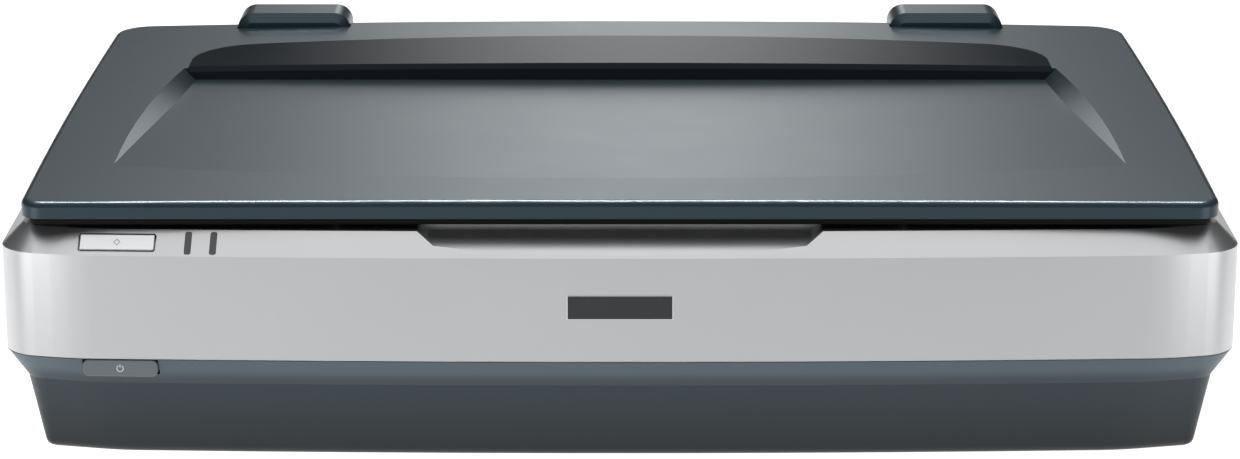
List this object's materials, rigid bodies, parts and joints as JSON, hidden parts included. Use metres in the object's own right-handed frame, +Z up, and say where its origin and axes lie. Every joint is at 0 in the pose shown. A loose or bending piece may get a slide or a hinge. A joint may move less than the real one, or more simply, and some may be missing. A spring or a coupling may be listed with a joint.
{
  "type": "flatbed scanner",
  "caption": "Large-format flatbed scanner: hinged, lift-off cover, glass bed, travelling lamp and mirror carriage, belt drive, push buttons and transport lock.",
  "frame": {"origin": "centre of the bounding box, at the underside of the rubber feet", "axes": "+X to the right along the front, +Y from the front to the back, +Z up"},
  "size_m": [0.656, 0.458, 0.158],
  "materials": {
    "dark_plastic": "fine moulded texture",
    "silver_plastic": "satin silver paint-like",
    "cover_blue_grey": "satin, soft sheen",
    "visor_gloss": "dark smoked gloss",
    "clear_glass": "float glass, polished edge",
    "black_plastic": "matt moulded",
    "grey_print": "printed polycarbonate",
    "white_plastic": "acetal white",
    "white_mat": "matt white sheet",
    "grey_foam": "open-cell foam",
    "black_rubber": "matt",
    "zinc_steel": "zinc plated",
    "sheet_steel": "galvanised sheet",
    "bright_steel": "ground and polished",
    "nickel_shell": "nickel plated shell",
    "motor_black": "black oxide",
    "circuit_board": "solder mask",
    "ribbon_film": "polyester film",
    "smoked_plastic": "smoked light pipe",
    "badge_gloss": "gloss with pale rim",
    "button_silver": "bright silver",
    "button_grey": "satin grey",
    "bronze_bush": "sintered bronze",
    "brass_gear": "machined",
    "lamp_glass": "phosphor coated tube",
    "mirror_foil": "bright reflector",
    "front_mirror": "first-surface mirror"
  },
  "bodies": {
    "case": {"lower_case": "dark_plastic", "upper_case": "silver_plastic", "document_glass": "clear_glass", "glass_frame": "black_plastic", "ruler_strips": "grey_print", "calibration_strip": "white_plastic", "rubber_feet": "black_rubber", "case_screws": "zinc_steel", "chassis_plate": "sheet_steel", "end_bracket_left": "sheet_steel", "end_bracket_right": "sheet_steel", "guide_rod": "bright_steel", "slide_rail": "sheet_steel", "motor_bracket": "sheet_steel", "scan_motor": "motor_black", "drive_belt": "black_rubber", "idler_bracket": "sheet_steel", "belt_spring": "bright_steel", "main_board": "circuit_board", "power_supply": "circuit_board", "connector_panel": "sheet_steel", "power_inlet": "black_plastic", "usb_port": "nickel_shell", "firewire_ports": "nickel_shell", "option_port": "nickel_shell", "home_sensor": "black_plastic", "panel_boards": "circuit_board", "status_lights": "smoked_plastic", "badge_plate": "badge_gloss", "hinge_sockets": "black_plastic", "flat_cable": "ribbon_film"},
    "cover": {"cover_shell": "cover_blue_grey", "rear_visor": "visor_gloss", "cover_pan": "black_plastic", "foam_pad": "grey_foam", "document_mat": "white_mat", "cover_bumpers": "black_rubber", "hinge_covers": "cover_blue_grey", "hinge_arms": "sheet_steel", "hinge_pins": "bright_steel", "cover_screws": "zinc_steel"},
    "hinge_posts": {"hinge_post_left": "black_plastic", "hinge_post_right": "black_plastic"},
    "carriage": {"carriage_frame": "black_plastic", "carriage_cover": "black_plastic", "lamp_tube": "lamp_glass", "lamp_reflector": "mirror_foil", "scan_mirrors": "front_mirror", "lens_barrel": "motor_black", "sensor_board": "circuit_board", "rod_bushes": "bronze_bush", "rear_slider": "white_plastic", "belt_clamp": "black_plastic", "inverter_board": "circuit_board"},
    "drive_gear": {"drive_gear": "white_plastic"},
    "motor_pinion": {"motor_pinion": "brass_gear"},
    "idler_pulley": {"idler_pulley": "white_plastic"},
    "start_button": {"start_button": "button_silver"},
    "power_button": {"power_button": "button_grey"},
    "lock_knob": {"lock_knob": "button_grey"}
  },
  "joints": [
    {"name": "cover_lift", "type": "slide", "parent": "case", "child": "hinge_posts", "axis": [0, 0, 1], "range_m": [0, 0.03]},
    {"name": "cover_hinge", "type": "hinge", "parent": "hinge_posts", "child": "cover", "pos_m": [0, 0.216, 0.145], "axis": [-1, 0, 0], "range_deg": [0, 75]},
    {"name": "carriage_travel", "type": "slide", "parent": "case", "child": "carriage", "axis": [1, 0, 0], "range_m": [0, 0.46], "deforming": ["flat_cable"]},
    {"name": "drive_gear_spin", "type": "hinge", "parent": "case", "child": "drive_gear", "pos_m": [0.262, -0.112, 0.04], "axis": [0, 0, 1], "range_deg": [0, 3060]},
    {"name": "motor_pinion_spin", "type": "hinge", "parent": "case", "child": "motor_pinion", "pos_m": [0.252, -0.088, 0.037], "axis": [0, 0, 1], "range_deg": [-10200, 0]},
    {"name": "idler_spin", "type": "hinge", "parent": "case", "child": "idler_pulley", "pos_m": [-0.27, -0.112, 0.043], "axis": [0, 0, 1], "range_deg": [0, 3060]},
    {"name": "start_button_press", "type": "slide", "parent": "case", "child": "start_button", "axis": [0.0295, 0.7065, -0.7071], "range_m": [0, 0.001], "stiffness_N_per_m": 600, "springref_m": -0.0005},
    {"name": "power_button_press", "type": "slide", "parent": "case", "child": "power_button", "axis": [0.0417, 0.9991, 0], "range_m": [0, 0.0009], "stiffness_N_per_m": 600, "springref_m": -0.0005},
    {"name": "lock_turn", "type": "hinge", "parent": "case", "child": "lock_knob", "pos_m": [-0.324, -0.06, 0.088], "axis": [1, 0, 0], "range_deg": [0, 90]}
  ],
  "couplings": [
    {"joint": "drive_gear_spin", "follows": "carriage_travel", "rad_per_m": 115.61},
    {"joint": "idler_spin", "follows": "carriage_travel", "rad_per_m": 115.61},
    {"joint": "motor_pinion_spin", "follows": "carriage_travel", "rad_per_m": -385.36}
  ]
}
